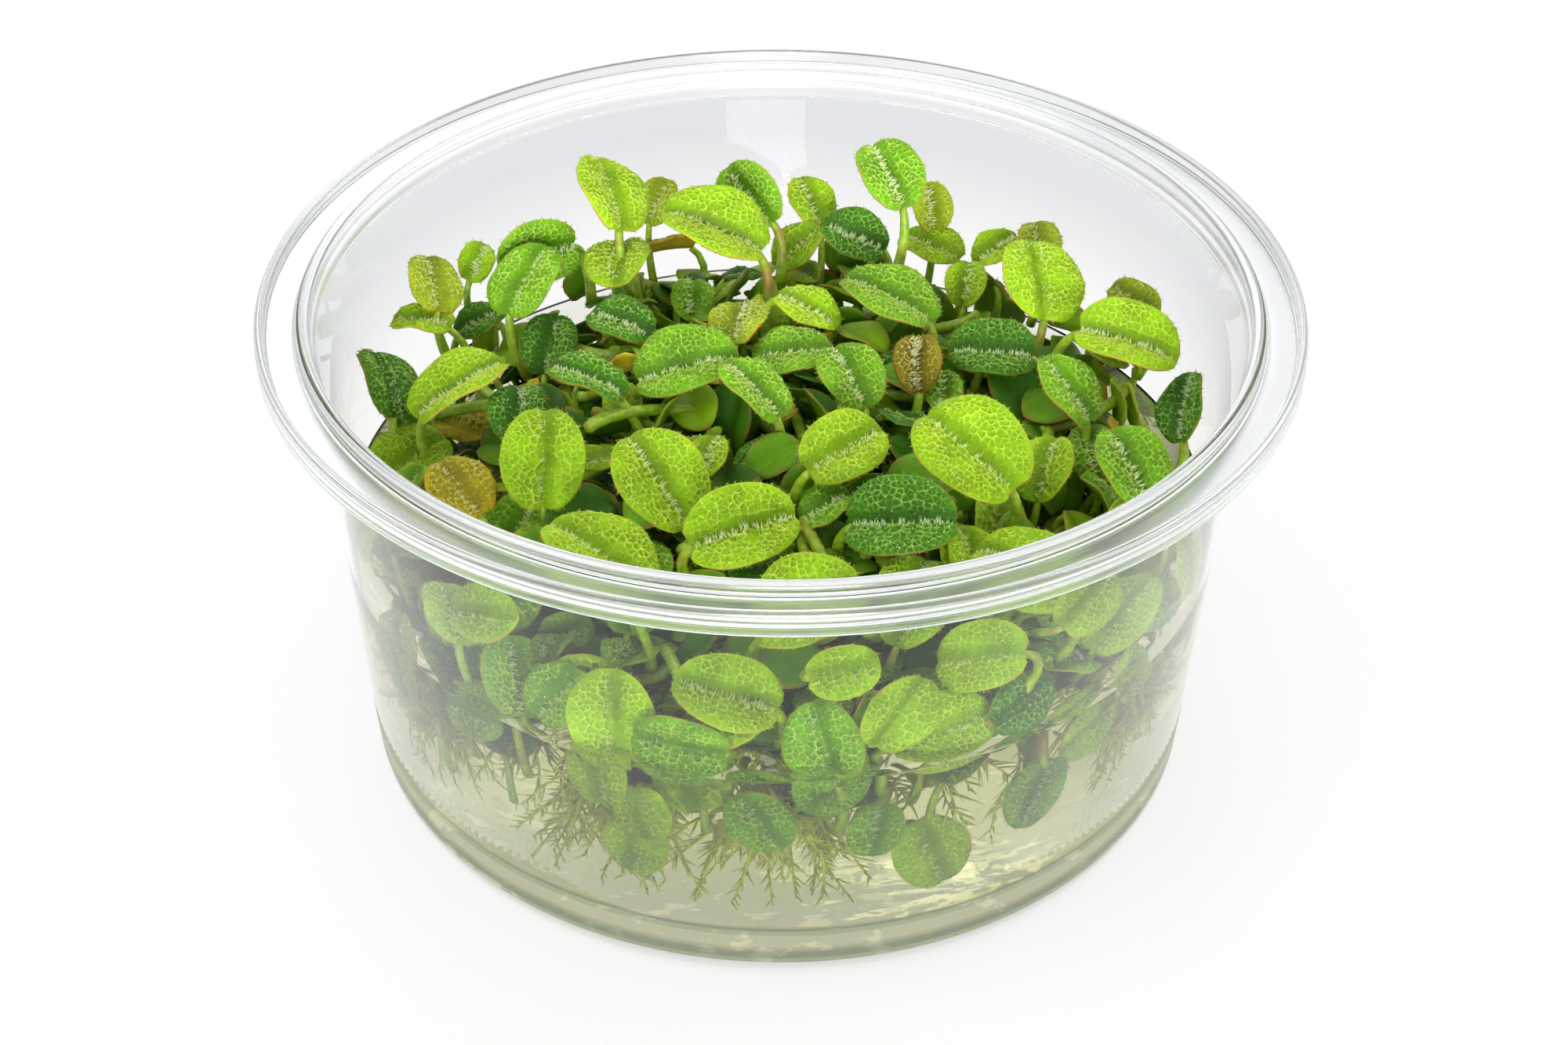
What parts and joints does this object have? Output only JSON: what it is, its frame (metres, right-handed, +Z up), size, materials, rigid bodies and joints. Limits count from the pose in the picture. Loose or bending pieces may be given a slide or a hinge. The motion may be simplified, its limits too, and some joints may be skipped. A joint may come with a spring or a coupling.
{
  "type": "tub of floating salvinia plants",
  "caption": "Clear round tub of water filled with a heap of salvinia, a floating aquarium fern with folded oval leaves and feathery hanging roots.",
  "frame": {"origin": "middle of the tub's flat bottom, on the surface it stands on", "axes": "+Z up through the tub's open top, -Y towards the side that the picture shows, +X to the right of that side"},
  "size_m": [0.117, 0.117, 0.0585],
  "materials": {
    "clear_tub": "clear thin moulded plastic, glossy, colourless",
    "water": "clear still water with a faint green cast",
    "tangle": "packed small leaves and pale stems, dark in the gaps",
    "roots": "feathery yellow-green to brown fibres, wet",
    "leaf_lime": "young leaf, bright yellow-green, raised pale net and soft bristles",
    "leaf_green": "mid-green leaf, raised pale net and soft bristles",
    "leaf_dark": "dark green leaf with pale bristles in rows",
    "leaf_ochre": "yellowed leaf with a thin red-brown edge",
    "leaf_rust": "old leaf, reddish brown"
  },
  "bodies": {
    "root": {"tub": "clear_tub", "water": "water", "tangle": "tangle", "roots_left": "roots", "roots_front_left": "roots", "roots_front": "roots", "roots_right": "roots", "roots_back": "roots", "leaf_wall_1": "leaf_lime", "leaf_wall_2": "leaf_green", "leaf_wall_3": "leaf_lime", "leaf_wall_4": "leaf_lime", "leaf_wall_5": "leaf_green", "leaf_wall_6": "leaf_lime", "leaf_wall_7": "leaf_lime", "leaf_wall_8": "leaf_lime", "leaf_wall_9": "leaf_dark", "leaf_wall_10": "leaf_green", "leaf_left_1": "leaf_dark", "leaf_left_2": "leaf_lime", "leaf_left_3": "leaf_dark", "leaf_left_4": "leaf_ochre", "leaf_left_5": "leaf_green", "leaf_left_6": "leaf_ochre", "leaf_right_1": "leaf_dark", "leaf_right_2": "leaf_green", "leaf_right_3": "leaf_green", "leaf_right_4": "leaf_lime", "leaf_right_5": "leaf_dark", "leaf_right_6": "leaf_lime", "leaf_back_1": "leaf_lime", "leaf_back_2": "leaf_green", "leaf_back_3": "leaf_lime", "leaf_back_4": "leaf_green", "leaf_back_5": "leaf_green", "leaf_back_6": "leaf_dark", "leaf_back_7": "leaf_green", "leaf_back_8": "leaf_green", "leaf_middle_1": "leaf_dark", "leaf_middle_2": "leaf_green", "leaf_middle_3": "leaf_ochre", "leaf_middle_4": "leaf_lime", "leaf_middle_5": "leaf_green", "leaf_middle_6": "leaf_rust", "leaf_middle_7": "leaf_dark", "leaf_middle_8": "leaf_green", "leaf_middle_9": "leaf_green", "leaf_front_1": "leaf_lime", "leaf_front_2": "leaf_lime", "leaf_front_3": "leaf_lime", "leaf_front_4": "leaf_lime", "leaf_front_5": "leaf_lime", "leaf_front_6": "leaf_lime", "leaf_front_7": "leaf_dark", "leaf_front_8": "leaf_lime", "leaf_front_9": "leaf_lime"}
  },
  "joints": []
}
